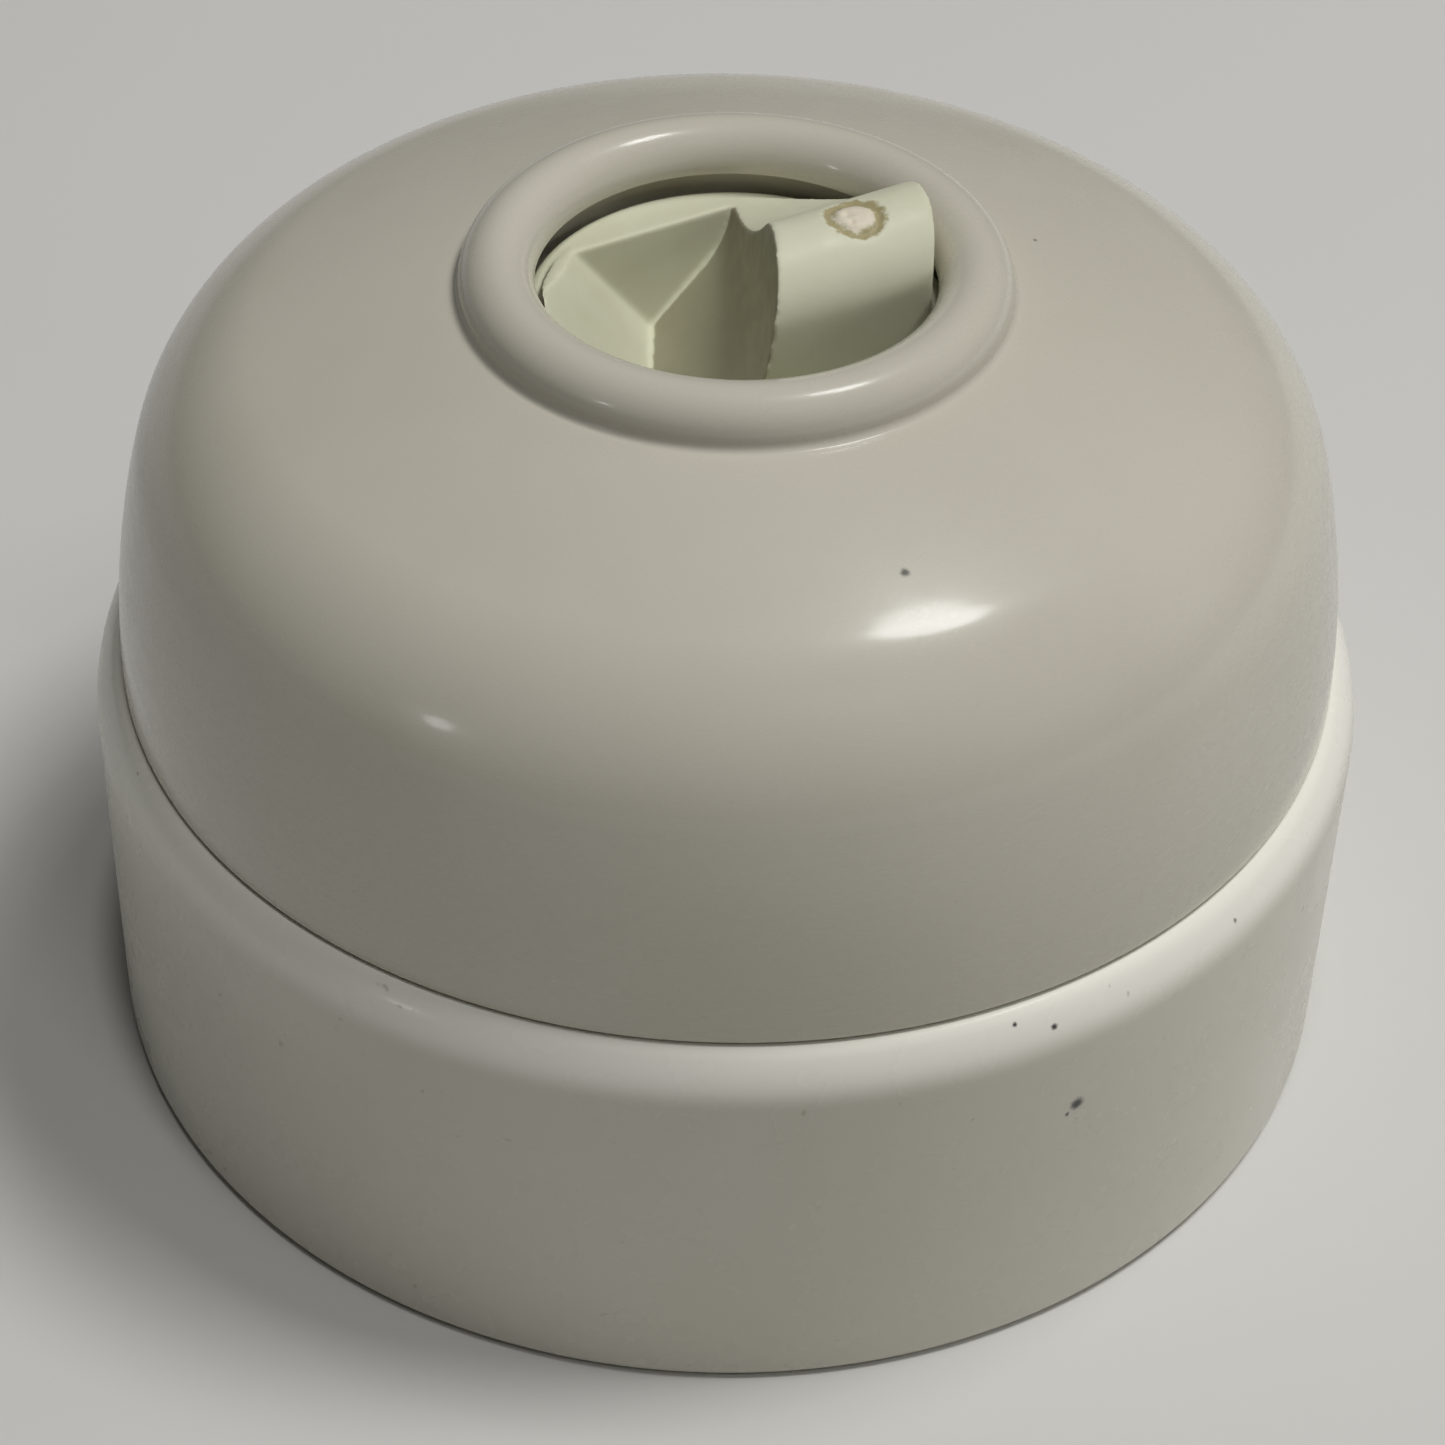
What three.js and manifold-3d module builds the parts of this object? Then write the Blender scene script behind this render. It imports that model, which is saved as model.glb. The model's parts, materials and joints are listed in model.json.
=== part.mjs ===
// A surface-mounted rotary light switch: a porcelain base, a domed cover and a recessed turning knob over a
// snap-action contact mechanism. Millimetres, +Z away from the wall, origin at the centre of the wall face.
import * as THREE from "three";
import { mergeVertices } from "three/addons/utils/BufferGeometryUtils.js";
import Module from "manifold-3d";

const wasm = await Module();
wasm.setup();

// ---------------------------------------------------------------- driving dimensions
const GAP = 0.3; // between pieces that rest on or run past each other
const ROUND = 24; // sides of a small round piece
const BEARING_SIDES = 32; // sides of the bush, and of the journal in it
const SHELL_SIDES = 48; // sides of the base, the cover and the knob
const BEND_STEPS = 4; // facets in each bend of a strip
const CHAMFER = 0.5; // broken edge of the collar, the knob's rim and the screw heads
const PAST = 1; // how far a cutting tool runs past the face it opens
const OVERLAP = 0.5; // how far one solid runs into the next that it is joined to

const BASE_RADIUS = 32.5;
const SHOULDER_RADIUS = 3.7; // rounded top edge of the base, which tightens where it meets the seat
const SHOULDER_ANGLE = THREE.MathUtils.degToRad(40);
const LEDGE_RADIUS = 1.1;
const FOOT_CHAMFER = 0.6;
const RECESS_RADIUS = 27; // hollow in the wall face
const DECK_BOTTOM = 6;
const DECK_TOP = 12;
const WELL_RADIUS = 25.2;
const COLLAR_RADIUS = 27.6; // centres the cover
const COLLAR_TOP = 25.5;

const COVER_RADIUS = 31;
const COVER_WALL = 2.6;
const COVER_EDGE_Z = 21.9;
const SEAT_Z = COVER_EDGE_Z - GAP;
const BELLY_RADIUS = 43; // gentle curve of the cover's side
const BELLY_ANGLE = THREE.MathUtils.degToRad(15);
const BEND_RADIUS = 9.4; // tight curve between side and dome
const BEND_ANGLE = THREE.MathUtils.degToRad(71);
const GROOVE_RADIUS = 13.4;
const BEAD_RADIUS = 1.85; // section radius of the raised bead
const BEAD_CENTRE = { r: 11.55, z: 42.5 };
const HOLE_RADIUS = 9.75;
const HOLE_BOTTOM = 42.2;
const SLEEVE = { inner: 10.8, outer: 12.3, bottom: 35.5 }; // hangs below the hole, round the knob's disc

const KNOB_RADIUS = 10.3;
const KNOB_TOP = 41;
const KNOB_BOTTOM = 34;
const KNOB_HUB_RADIUS = 6;
const KNOB_HUB_BOTTOM = 31.9;
const RIM_RADIUS = 9.5; // inside of the disc's rim, round the notch and the near well
const BAR_ANGLE = 30.5; // degrees from X to the finger bar's length
const BAR_OFFSET = -2.2; // the bar's middle lies beside the axis
const BAR_RADIUS = 3.2; // half-round top of the bar
const BAR_TOP = 46;
const BAR_REACH = 9.4; // how far the bar runs out from the axis
const FLANK_RADIUS = 13; // hollow curve from the bar's far side down to the disc
const NEAR_WELL_FLOOR = 36;

// The thumb notch, in a frame with U along the bar and V across it. A face falls along its heading, in degrees.
const NOTCH_FLOOR = 35.2;
const NOTCH_WALL = { u: 0, v: 7.45, slope: 84, heading: -90 };
const NOTCH_RAMP = { u: -5, v: 7.3, slope: 55, heading: -33 };
const SCOOP = { u: 4.13, v: 7.6, heading: 157, steep: 83, shallow: 42, radius: 4 };
const GATE_MARK = { u: 5, v: -2.4, radius: 1.45, depth: 0.25 }; // where the moulding was fed

const SQUARE = 4; // across the flats of the spindle
const SPINDLE_TOP = 35;
const JOURNAL = { radius: 2.93, bottom: 25, top: 30.5 };
const CLIP_GROOVE = { radius: 2.2, bottom: 30.5, top: 31.5 };
const PIVOT = { radius: 1.5, clearance: 0.09, bottom: 8.4, top: 12.5 };
const SPINDLE_CLIP = { inner: 2.45, outer: 5, bottom: 30.7, height: 0.6, mouth: 4.2 };
const BUSH = { bore: 3, body: 4.5, flange: 6.2, bottom: 25.6, top: 30.3, flangeBottom: 27.8, flangeTop: 28.6 };

const SHEET = 1.2; // thickness of the bridge
const BRIDGE_TOP = 27.5;
const BRIDGE_HALF_SPAN = 14.6;
const BRIDGE_HALF_WIDTH = 5.5;
const BRIDGE_BEND = 1.8;
const PLATE = { halfWidth: 8.4, halfLength: 12.4 };
const FOOT_END = 22.6;
const FOOT_SCREW_Y = 18.6;

const CAM = { halfFlat: 5.5, corner: 1.6, bottom: 21.6, height: 3 };
const INDEX_SPRING = { thickness: 0.5, height: 2.4, halfLength: 11.6, bottom: 22 };
const FORK = { width: 2.6, length: 2, y: 10.2, bottom: 21.7 };

const ROTOR = { radius: 9.5, bottom: 12.9, top: 21.2 };
const WIPER = { halfLength: 12, width: 6, thickness: 1 };

const BLADE = { thickness: 0.6, width: 5, bend: 1, footEnd: 24, riserX: 13.7, leafEnd: 10.3 };
const BLOCK = { inner: 14.7, outer: 24.3, halfWidth: 3.5, bottom: 13.2, top: 20.2 };
const BLADE_SCREW_X = 16.9;
const SCREW_HOLE_FLOOR = DECK_BOTTOM + 1;
const SCREW_TIP = SCREW_HOLE_FLOOR + 0.4; // lowest point of a screw that goes into the base
const WIRE_SCREW_TIP = 17.9; // lowest point of the screw that clamps the wire
const WIRE = { x: 21.5, z: 16, radius: 1.6 };
const SCREW_SMALL = { shank: 1.3, head: 2.1, headHeight: 1.6, slot: 0.7, slotDepth: 0.7 };
const SCREW_LARGE = { shank: 1.6, head: 3, headHeight: 1.9, slot: 0.9, slotDepth: 0.9 };

const RIVET = { shank: 1.2, head: 2.2, shopHead: 1.6, headHeight: 1, shopHeight: 0.8 };
const CLIP = { thickness: 0.5, width: 7, bend: 1.6, inner: 8, rivetY: 10.8 };
const CLIP_GRIP = { reach: 26.8, z: 31, footRun: 2.6, lipRun: 1.6, top: 34.6 }; // where it presses the cover's wall

const FIXING = { distance: 19, hole: 2.3, counterbore: 4.2, seatZ: 9.4 };
const CABLE = { distance: 19, radius: 3.5 };

// ---------------------------------------------------------------- solids
function toSolid(geometry) {
  const bare = geometry.index ? geometry.toNonIndexed() : geometry.clone();
  bare.deleteAttribute("normal");
  bare.deleteAttribute("uv");
  const merged = mergeVertices(bare, 1e-4);
  return new wasm.Manifold(
    new wasm.Mesh({
      numProp: 3,
      vertProperties: merged.attributes.position.array,
      triVerts: new Uint32Array(merged.index.array),
    }),
  );
}

function toGeometry(solid) {
  const mesh = solid.getMesh();
  const geometry = new THREE.BufferGeometry();
  geometry.setAttribute("position", new THREE.BufferAttribute(mesh.vertProperties, 3));
  geometry.setIndex(new THREE.BufferAttribute(mesh.triVerts, 1));
  return geometry;
}

// A turned solid: [radius, z] points from the axis round to the axis, or round a closed ring.
function turned(points, sides = ROUND) {
  const profile = points.map(([r, z]) => new THREE.Vector2(r, z));
  if (points[0][0] > 0) profile.push(profile[0].clone());
  const geometry = new THREE.LatheGeometry(profile, sides);
  geometry.rotateX(Math.PI / 2);
  return toSolid(geometry);
}

function rod(radius, bottom, top, x = 0, y = 0, sides = ROUND) {
  const geometry = new THREE.CylinderGeometry(radius, radius, top - bottom, sides);
  geometry.rotateX(Math.PI / 2);
  geometry.translate(x, y, (top + bottom) / 2);
  return toSolid(geometry);
}

function box(x0, x1, y0, y1, z0, z1) {
  const geometry = new THREE.BoxGeometry(x1 - x0, y1 - y0, z1 - z0);
  geometry.translate((x0 + x1) / 2, (y0 + y1) / 2, (z0 + z1) / 2);
  return toSolid(geometry);
}

// An upright prism over an outline of [x, y] points.
function prism(outline, bottom, top) {
  const shape = new THREE.Shape(outline.map(([x, y]) => new THREE.Vector2(x, y)));
  const geometry = new THREE.ExtrudeGeometry(shape, { depth: top - bottom, bevelEnabled: false });
  geometry.translate(0, 0, bottom);
  return toSolid(geometry);
}

// Carries an outline of [across, z] points along a level line of the stated heading.
function levelPrism(outline, length, heading) {
  const shape = new THREE.Shape(outline.map(([across, z]) => new THREE.Vector2(across, z)));
  const geometry = new THREE.ExtrudeGeometry(shape, { depth: length, bevelEnabled: false });
  geometry.translate(0, 0, -length / 2);
  geometry.rotateX(Math.PI / 2);
  return toSolid(geometry).rotate([0, 0, heading]);
}

// Points on an arc, from one angle to another, both ends included.
function arc(centreR, centreZ, radius, from, to, steps) {
  return Array.from({ length: steps + 1 }, (_, i) => {
    const angle = from + ((to - from) * i) / steps;
    return [centreR + radius * Math.cos(angle), centreZ + radius * Math.sin(angle)];
  });
}

// A strip of sheet metal bent along a line of [across, z] points, centred on Y and as wide as stated.
// Each bend is an arc of the stated radius at mid-thickness.
function bentStrip(points, thickness, width, bend) {
  const left = [];
  const right = [];
  const addPair = (centre, outward, toLeft, toRight) => {
    left.push(centre.clone().addScaledVector(outward, toLeft));
    right.push(centre.clone().addScaledVector(outward, toRight));
  };
  const line = points.map(([a, z]) => new THREE.Vector2(a, z));
  const direction = (i) => line[i + 1].clone().sub(line[i]).normalize();
  const leftOf = (d) => new THREE.Vector2(-d.y, d.x);
  addPair(line[0], leftOf(direction(0)), thickness / 2, -thickness / 2);
  for (let i = 1; i < line.length - 1; i++) {
    const [before, after] = [direction(i - 1), direction(i)];
    const turn = Math.atan2(before.cross(after), before.dot(after));
    const side = Math.sign(turn);
    const start = line[i].clone().addScaledVector(before, -bend * Math.tan(Math.abs(turn) / 2));
    const centre = start.addScaledVector(leftOf(before), side * bend);
    for (let step = 0; step <= BEND_STEPS; step++) {
      const spoke = leftOf(before).multiplyScalar(-side);
      spoke.rotateAround(new THREE.Vector2(), (turn * step) / BEND_STEPS);
      addPair(centre, spoke, bend - (side * thickness) / 2, bend + (side * thickness) / 2);
    }
  }
  const last = line.length - 1;
  addPair(line[last], leftOf(direction(last - 1)), thickness / 2, -thickness / 2);
  const outline = [...left, ...right.reverse()];
  return levelPrism(
    outline.map((point) => point.toArray()),
    width,
    0,
  );
}

const quarterTurn = (solid, turns) => solid.rotate([0, 0, 90 * turns]);

// ---------------------------------------------------------------- housing
function makeBase() {
  const shoulderR = BASE_RADIUS - SHOULDER_RADIUS;
  const ledgeR = shoulderR + (SHOULDER_RADIUS - LEDGE_RADIUS) * Math.cos(SHOULDER_ANGLE);
  const ledgeZ = SEAT_Z - LEDGE_RADIUS;
  const shoulderZ = ledgeZ - (SHOULDER_RADIUS - LEDGE_RADIUS) * Math.sin(SHOULDER_ANGLE);
  const body = turned(
    [
      [0, DECK_BOTTOM],
      [RECESS_RADIUS, DECK_BOTTOM],
      [RECESS_RADIUS, 0],
      [BASE_RADIUS - FOOT_CHAMFER, 0],
      [BASE_RADIUS, FOOT_CHAMFER],
      ...arc(shoulderR, shoulderZ, SHOULDER_RADIUS, 0, SHOULDER_ANGLE, 4),
      ...arc(ledgeR, ledgeZ, LEDGE_RADIUS, SHOULDER_ANGLE, Math.PI / 2, 3).slice(1),
      [COLLAR_RADIUS, SEAT_Z],
      [COLLAR_RADIUS, COLLAR_TOP - CHAMFER],
      [COLLAR_RADIUS - CHAMFER, COLLAR_TOP],
      [WELL_RADIUS, COLLAR_TOP],
      [WELL_RADIUS, DECK_TOP],
      [0, DECK_TOP],
    ],
    SHELL_SIDES,
  );
  const cuts = [rod(PIVOT.radius + PIVOT.clearance, PIVOT.bottom - GAP, DECK_TOP + PAST)];
  for (const side of [-1, 1]) {
    const diagonal = side * Math.SQRT1_2;
    const [fx, fy] = [diagonal * FIXING.distance, diagonal * FIXING.distance];
    cuts.push(rod(FIXING.hole, DECK_BOTTOM - PAST, DECK_TOP + PAST, fx, fy));
    cuts.push(rod(FIXING.counterbore, FIXING.seatZ, DECK_TOP + PAST, fx, fy));
    const [cx, cy] = [-diagonal * CABLE.distance, diagonal * CABLE.distance];
    cuts.push(rod(CABLE.radius, DECK_BOTTOM - PAST, DECK_TOP + PAST, cx, cy));
    cuts.push(rod(SCREW_SMALL.shank + GAP, SCREW_HOLE_FLOOR, DECK_TOP + PAST, side * BLADE_SCREW_X, 0));
    cuts.push(rod(SCREW_LARGE.shank + GAP, SCREW_HOLE_FLOOR, DECK_TOP + PAST, 0, side * FOOT_SCREW_Y));
  }
  return cuts.reduce((solid, cut) => solid.subtract(cut), body);
}

// The cover's section: belly, bend and dome, each an arc tangent to the next, then the bead and the hole.
function coverCurve(inset, bendSteps) {
  const bellyCentre = COVER_RADIUS - BELLY_RADIUS;
  const toBend = BELLY_RADIUS - BEND_RADIUS;
  const bend = {
    r: bellyCentre + toBend * Math.cos(BELLY_ANGLE),
    z: COVER_EDGE_Z + toBend * Math.sin(BELLY_ANGLE),
  };
  const domeRadius = BEND_RADIUS + bend.r / Math.cos(BEND_ANGLE);
  const domeCentreZ = bend.z - (domeRadius - BEND_RADIUS) * Math.sin(BEND_ANGLE);
  const domeEnd = Math.acos((GROOVE_RADIUS + 0.4) / (domeRadius - inset));
  return [
    ...arc(bellyCentre, COVER_EDGE_Z, BELLY_RADIUS - inset, 0, BELLY_ANGLE, 2),
    ...arc(bend.r, bend.z, BEND_RADIUS - inset, BELLY_ANGLE, BEND_ANGLE, bendSteps).slice(1),
    ...arc(0, domeCentreZ, domeRadius - inset, BEND_ANGLE, domeEnd, 2).slice(1),
  ];
}

function makeCover() {
  const outside = coverCurve(0, 6);
  const inside = coverCurve(COVER_WALL, 4).reverse();
  const grooveZ = outside[outside.length - 1][1];
  const innerTop = inside[0][1];
  return turned(
    [
      ...outside,
      [GROOVE_RADIUS, grooveZ - 0.05],
      ...arc(BEAD_CENTRE.r, BEAD_CENTRE.z, BEAD_RADIUS, 0, Math.PI, 8),
      [HOLE_RADIUS, HOLE_BOTTOM],
      [SLEEVE.inner, HOLE_BOTTOM],
      [SLEEVE.inner, SLEEVE.bottom],
      [SLEEVE.outer, SLEEVE.bottom],
      [SLEEVE.outer, innerTop],
      ...inside,
    ],
    SHELL_SIDES,
  );
}

// ---------------------------------------------------------------- knob
// The finger bar: upright on its near side, half-round on top, with a hollow flank on its far side.
function fingerBar() {
  const springLine = BAR_TOP - BAR_RADIUS;
  const foot = KNOB_TOP - 0.02; // just under the disc's face, so that the flank runs out into it
  const flankCentreZ = foot + FLANK_RADIUS;
  const rise = flankCentreZ - springLine;
  const flankCentreV = Math.sqrt((BAR_RADIUS + FLANK_RADIUS) ** 2 - rise ** 2);
  const meeting = Math.atan2(rise, flankCentreV);
  const section = [
    [-BAR_RADIUS, KNOB_BOTTOM + 1],
    ...arc(0, springLine, BAR_RADIUS, Math.PI, meeting, 12),
    ...arc(flankCentreV, flankCentreZ, FLANK_RADIUS, Math.PI + meeting, 1.5 * Math.PI, 8).slice(1),
    [flankCentreV, KNOB_BOTTOM + 1],
  ];
  return levelPrism(section, 4 * KNOB_RADIUS, 90)
    .translate([0, BAR_OFFSET, 0])
    .intersect(rod(BAR_REACH, KNOB_BOTTOM + 1, BAR_TOP + 1, 0, 0, SHELL_SIDES));
}

function aboveFace({ u, v, slope, heading }) {
  const reach = 4 * KNOB_RADIUS;
  return box(-reach, reach, -reach, reach, 0, reach)
    .rotate([0, slope, 0])
    .rotate([0, 0, heading])
    .translate([u, v, KNOB_TOP]);
}

// All of space beyond the bar's scooped end, which is steep at the top and curves out towards the notch's floor.
function beyondScoop() {
  const steep = THREE.MathUtils.degToRad(SCOOP.steep);
  const shallow = THREE.MathUtils.degToRad(SCOOP.shallow);
  const centre = [SCOOP.radius * Math.sin(steep), KNOB_TOP + SCOOP.radius * Math.cos(steep)];
  const curve = arc(...centre, SCOOP.radius, 1.5 * Math.PI - steep, 1.5 * Math.PI - shallow, 6);
  const [curveEnd, curveEndZ] = curve[curve.length - 1];
  const reach = 4 * KNOB_RADIUS;
  const outline = [
    [-reach / Math.tan(steep), KNOB_TOP + reach],
    ...curve,
    [curveEnd + reach * Math.cos(shallow), curveEndZ - reach * Math.sin(shallow)],
    [curveEnd + reach * Math.cos(shallow), KNOB_TOP + reach],
  ];
  return levelPrism(outline, reach, SCOOP.heading).translate([SCOOP.u, SCOOP.v, 0]);
}

function thumbNotch() {
  const half = 2 * KNOB_RADIUS;
  return box(-half, half, -half, half, NOTCH_FLOOR, BAR_TOP + 1)
    .intersect(aboveFace(NOTCH_WALL))
    .intersect(aboveFace(NOTCH_RAMP))
    .intersect(beyondScoop())
    .intersect(rod(RIM_RADIUS, 0, BAR_TOP + 1, 0, 0, SHELL_SIDES));
}

// The space on the bar's near side, where the fingers close on it.
function nearWell() {
  const nearSide = BAR_OFFSET - BAR_RADIUS;
  return box(-KNOB_RADIUS, KNOB_RADIUS, -KNOB_RADIUS, nearSide, NEAR_WELL_FLOOR, BAR_TOP + 1).intersect(
    rod(RIM_RADIUS, 0, BAR_TOP + 1, 0, 0, SHELL_SIDES),
  );
}

function makeKnob() {
  const disc = turned(
    [
      [0, KNOB_HUB_BOTTOM],
      [KNOB_HUB_RADIUS, KNOB_HUB_BOTTOM],
      [KNOB_HUB_RADIUS, KNOB_BOTTOM],
      [KNOB_RADIUS, KNOB_BOTTOM],
      [KNOB_RADIUS, KNOB_TOP - CHAMFER],
      [KNOB_RADIUS - CHAMFER, KNOB_TOP],
      [0, KNOB_TOP],
    ],
    SHELL_SIDES,
  );
  const half = SQUARE / 2 + GAP;
  const socket = box(-half, half, -half, half, KNOB_HUB_BOTTOM - 1, SPINDLE_TOP + GAP);
  const mark = rod(GATE_MARK.radius, BAR_TOP - GATE_MARK.depth, BAR_TOP + 1, GATE_MARK.u, GATE_MARK.v);
  return disc
    .add(fingerBar())
    .subtract(nearWell())
    .subtract(thumbNotch())
    .subtract(mark)
    .rotate([0, 0, BAR_ANGLE])
    .subtract(socket);
}

// ---------------------------------------------------------------- turning parts
function makeSpindle() {
  const half = SQUARE / 2;
  const square = box(-half, half, -half, half, PIVOT.top, SPINDLE_TOP);
  const groove = rod(2 * SQUARE, CLIP_GROOVE.bottom, CLIP_GROOVE.top);
  return square
    .subtract(groove)
    .add(rod(CLIP_GROOVE.radius, CLIP_GROOVE.bottom - OVERLAP, CLIP_GROOVE.top + OVERLAP))
    .add(rod(JOURNAL.radius, JOURNAL.bottom, JOURNAL.top, 0, 0, BEARING_SIDES))
    .add(rod(PIVOT.radius, PIVOT.bottom, PIVOT.top + OVERLAP));
}

function makeSpindleClip() {
  const { inner, outer, bottom, height, mouth } = SPINDLE_CLIP;
  return rod(outer, bottom, bottom + height)
    .subtract(rod(inner, bottom - 1, bottom + height + 1))
    .subtract(box(0, 2 * outer, -mouth / 2, mouth / 2, bottom - 1, bottom + height + 1));
}

function squareHole(bottom, top) {
  const half = SQUARE / 2 + GAP;
  return box(-half, half, -half, half, bottom - 1, top + 1);
}

function makeCam() {
  const { halfFlat, corner, bottom, height } = CAM;
  const inner = halfFlat - corner;
  const outline = [0, 1, 2, 3].flatMap((quarter) => {
    const start = (quarter * Math.PI) / 2;
    const sx = [1, -1, -1, 1][quarter];
    const sy = [1, 1, -1, -1][quarter];
    return arc(sx * inner, sy * inner, corner, start, start + Math.PI / 2, 5);
  });
  return prism(outline, bottom, bottom + height).subtract(squareHole(bottom, bottom + height));
}

function makeRotor() {
  const { radius, bottom, top } = ROTOR;
  const slotHalf = WIPER.width / 2 + GAP;
  const slotFloor = top - WIPER.thickness - GAP;
  return turned([
    [0, bottom],
    [radius - 0.6, bottom],
    [radius, bottom + 0.6],
    [radius, top],
    [0, top],
  ])
    .subtract(squareHole(bottom, top))
    .subtract(box(-2 * radius, 2 * radius, -slotHalf, slotHalf, slotFloor, top + 1));
}

function makeWiper() {
  const top = ROTOR.top;
  const bottom = top - WIPER.thickness;
  const half = WIPER.width / 2;
  const straight = WIPER.halfLength - half;
  return box(-straight, straight, -half, half, bottom, top)
    .add(rod(half, bottom, top, straight))
    .add(rod(half, bottom, top, -straight))
    .subtract(squareHole(bottom, top));
}

// ---------------------------------------------------------------- bridge and indexing
function makeBridge() {
  const middle = BRIDGE_TOP - SHEET / 2;
  const foot = DECK_TOP + GAP + SHEET / 2;
  const strip = bentStrip(
    [
      [-FOOT_END, foot],
      [-BRIDGE_HALF_SPAN, foot],
      [-BRIDGE_HALF_SPAN, middle],
      [BRIDGE_HALF_SPAN, middle],
      [BRIDGE_HALF_SPAN, foot],
      [FOOT_END, foot],
    ],
    SHEET,
    2 * BRIDGE_HALF_WIDTH,
    BRIDGE_BEND,
  );
  const { halfWidth, halfLength } = PLATE;
  const plate = box(-halfWidth, halfWidth, -halfLength, halfLength, BRIDGE_TOP - SHEET, BRIDGE_TOP);
  let bridge = quarterTurn(strip, 1).add(plate);
  const springMiddle = CAM.halfFlat + GAP + INDEX_SPRING.thickness / 2;
  const slotHalf = INDEX_SPRING.thickness / 2 + GAP;
  for (const sx of [-1, 1]) {
    for (const sy of [-1, 1]) {
      const [x, y] = [sx * springMiddle, sy * FORK.y];
      const [hx, hy] = [FORK.width / 2, FORK.length / 2];
      const slotTop = INDEX_SPRING.bottom + INDEX_SPRING.height + GAP;
      const prongs = box(x - hx, x + hx, y - hy, y + hy, FORK.bottom, BRIDGE_TOP - SHEET / 2);
      bridge = bridge.add(prongs.subtract(box(x - slotHalf, x + slotHalf, y - 2, y + 2, 0, slotTop)));
    }
  }
  for (const side of [-1, 1]) {
    bridge = bridge
      .subtract(rod(SCREW_LARGE.shank + GAP, DECK_TOP, DECK_TOP + 3, 0, side * FOOT_SCREW_Y))
      .subtract(rod(RIVET.shank + GAP, BRIDGE_TOP - 3, BRIDGE_TOP + 1, 0, side * CLIP.rivetY));
  }
  return bridge.subtract(rod(BUSH.body + GAP, BRIDGE_TOP - 3, BRIDGE_TOP + 1, 0, 0, BEARING_SIDES));
}

function makeBush() {
  const { bore, body, flange, bottom, top, flangeBottom, flangeTop } = BUSH;
  return turned(
    [
      [bore, bottom],
      [body, bottom],
      [body, flangeBottom],
      [flange, flangeBottom],
      [flange, flangeTop],
      [body, flangeTop],
      [body, top],
      [bore, top],
    ],
    BEARING_SIDES,
  );
}

function makeIndexSpring(side) {
  const near = CAM.halfFlat + GAP;
  const far = near + INDEX_SPRING.thickness;
  const { halfLength, bottom, height } = INDEX_SPRING;
  const [x0, x1] = side > 0 ? [near, far] : [-far, -near];
  return box(x0, x1, -halfLength, halfLength, bottom, bottom + height);
}

// ---------------------------------------------------------------- contacts
function makeBlade() {
  const foot = DECK_TOP + GAP + BLADE.thickness / 2;
  const upperLeaf = ROTOR.top + GAP + BLADE.thickness / 2;
  const lowerLeaf = ROTOR.top - WIPER.thickness - GAP - BLADE.thickness / 2;
  const { footEnd, riserX, leafEnd, thickness, width, bend } = BLADE;
  const main = bentStrip(
    [
      [footEnd, foot],
      [riserX, foot],
      [riserX, upperLeaf],
      [leafEnd, upperLeaf],
    ],
    thickness,
    width,
    bend,
  );
  const lower = box(leafEnd, riserX, -width / 2, width / 2, lowerLeaf - thickness / 2, lowerLeaf + thickness / 2);
  return main.add(lower).subtract(rod(SCREW_SMALL.shank + GAP, DECK_TOP, DECK_TOP + 2, BLADE_SCREW_X, 0));
}

function makeTerminalBlock() {
  const { inner, outer, halfWidth, bottom, top } = BLOCK;
  const wireHole = rod(WIRE.radius, -2 * halfWidth, 2 * halfWidth).rotate([90, 0, 0]).translate([WIRE.x, 0, WIRE.z]);
  return box(inner, outer, -halfWidth, halfWidth, bottom, top)
    .subtract(wireHole)
    .subtract(rod(SCREW_SMALL.shank + GAP, bottom - 1, top + 1, BLADE_SCREW_X, 0))
    .subtract(rod(SCREW_SMALL.shank + GAP, WIRE.z, top + 1, WIRE.x, 0));
}

function makeScrew({ shank, head, headHeight, slot, slotDepth }, x, y, tip, seat, slotTurn) {
  const headTop = seat + headHeight;
  const crown = [
    [0, seat],
    [head, seat],
    [head, headTop - CHAMFER],
    [head - CHAMFER, headTop],
    [0, headTop],
  ];
  const cut = box(-2 * head, 2 * head, -slot / 2, slot / 2, headTop - slotDepth, headTop + 1);
  return turned(crown, 20)
    .add(rod(shank, tip, seat + OVERLAP, 0, 0, 16))
    .subtract(cut)
    .rotate([0, 0, slotTurn])
    .translate([x, y, 0]);
}

// ---------------------------------------------------------------- cover clips
function makeCoverClip() {
  const seat = BRIDGE_TOP + GAP + CLIP.thickness / 2;
  const { thickness, width, bend, inner, rivetY } = CLIP;
  const outermost = CLIP_GRIP.reach - thickness / 2;
  return bentStrip(
    [
      [inner, seat],
      [outermost - CLIP_GRIP.footRun, seat],
      [outermost, CLIP_GRIP.z],
      [outermost - CLIP_GRIP.lipRun, CLIP_GRIP.top],
    ],
    thickness,
    width,
    bend,
  ).subtract(rod(RIVET.shank + GAP, seat - 1, seat + 1, rivetY, 0));
}

function makeRivet() {
  const { shank, head, shopHead, headHeight, shopHeight } = RIVET;
  const lower = BRIDGE_TOP - SHEET - GAP;
  const upper = BRIDGE_TOP + GAP + CLIP.thickness + GAP;
  return turned(
    [
      [0, lower - shopHeight],
      [shopHead, lower - shopHeight],
      [head, lower - shopHeight / 2],
      [head, lower],
      [shank, lower],
      [shank, upper],
      [head, upper],
      [0.85 * head, upper + 0.6 * headHeight],
      [0.45 * head, upper + headHeight],
      [0, upper + headHeight],
    ],
    16,
  );
}

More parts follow.
